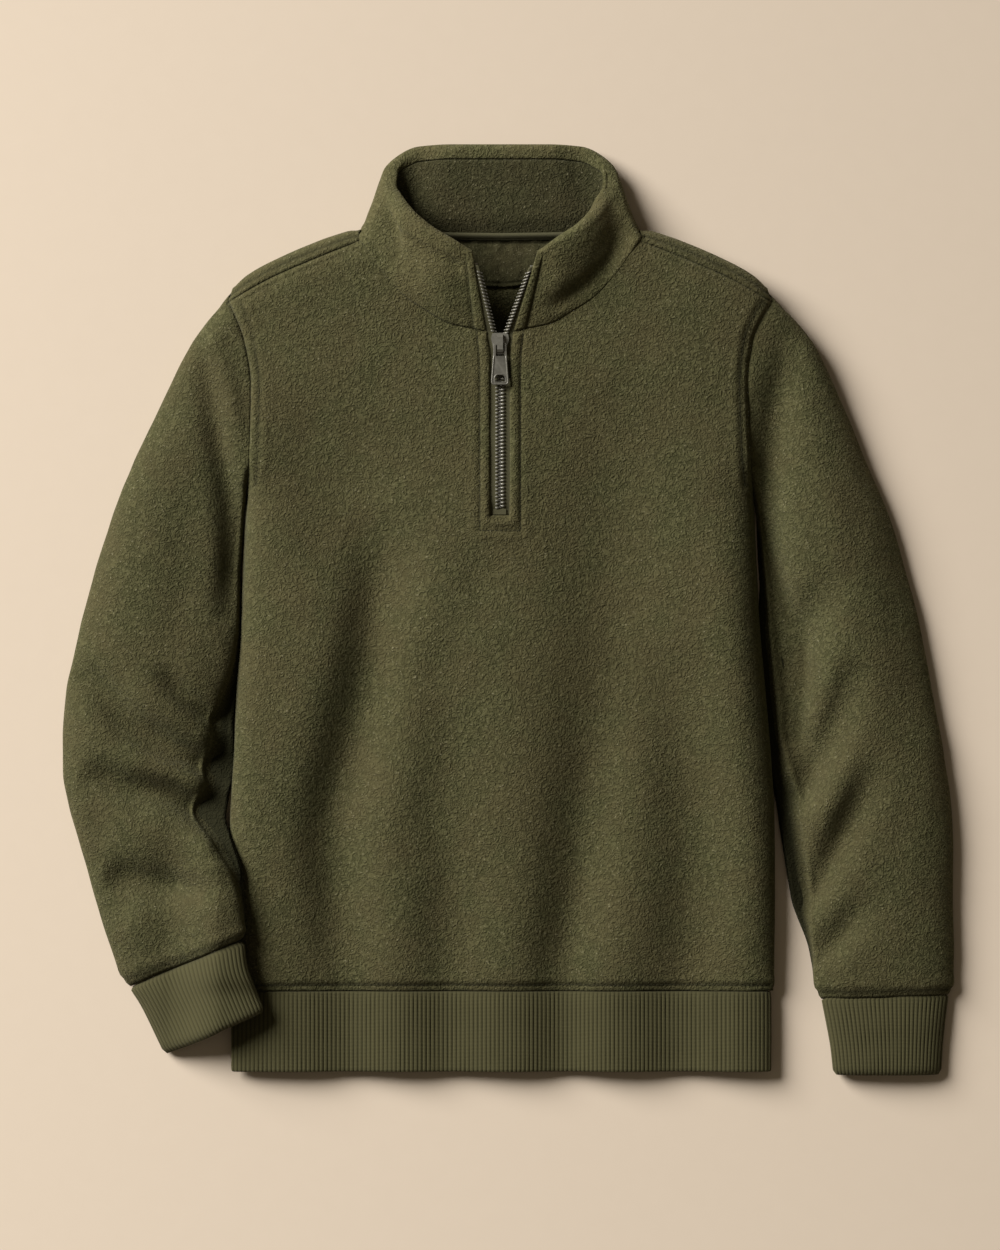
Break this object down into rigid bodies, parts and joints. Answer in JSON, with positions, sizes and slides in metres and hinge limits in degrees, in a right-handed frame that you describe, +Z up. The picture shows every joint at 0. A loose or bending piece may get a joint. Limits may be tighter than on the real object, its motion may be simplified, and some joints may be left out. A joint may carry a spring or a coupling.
{
  "type": "fleece pullover",
  "caption": "Fleece pullover with a stand collar and a quarter zip, ribbed hem and cuffs, laid on its back with its right sleeve bent over the hem.",
  "frame": {"origin": "the middle of the garment's underside, on the surface it lies on", "axes": "+X towards the wearer's left sleeve, +Y from the hem to the collar, +Z up from the surface, out of the garment's front"},
  "size_m": [0.715, 0.7476, 0.0498],
  "materials": {
    "fleece": "olive brushed fleece with a short nubby pile",
    "rib_knit": "olive fine-ribbed knit",
    "woven_tape": "dark olive woven tape",
    "zip_metal": "dark antique gunmetal, worn brighter on its edges"
  },
  "bodies": {
    "garment": {"front_panel": "fleece", "back_panel": "fleece", "sleeve_right": "fleece", "sleeve_left": "fleece", "collar_outer": "fleece", "collar_inner": "fleece", "back_neck_patch": "fleece", "hem_rib": "rib_knit", "cuff_right": "rib_knit", "cuff_left": "rib_knit", "zip_tape_right": "woven_tape", "zip_tape_left": "woven_tape", "neck_tape": "woven_tape", "zip_chain_right": "zip_metal", "zip_chain_left": "zip_metal", "zip_top_stop_right": "zip_metal", "zip_top_stop_left": "zip_metal", "zip_bottom_stop": "zip_metal", "zip_slider": "zip_metal"},
    "pull_tab": {"zip_pull": "zip_metal"}
  },
  "joints": [
    {"name": "pull_tab_hinge", "type": "hinge", "parent": "garment", "child": "pull_tab", "pos_m": [-0.0075, 0.21175, 0.037], "axis": [-1, 0, 0], "range_deg": [0, 165]}
  ]
}
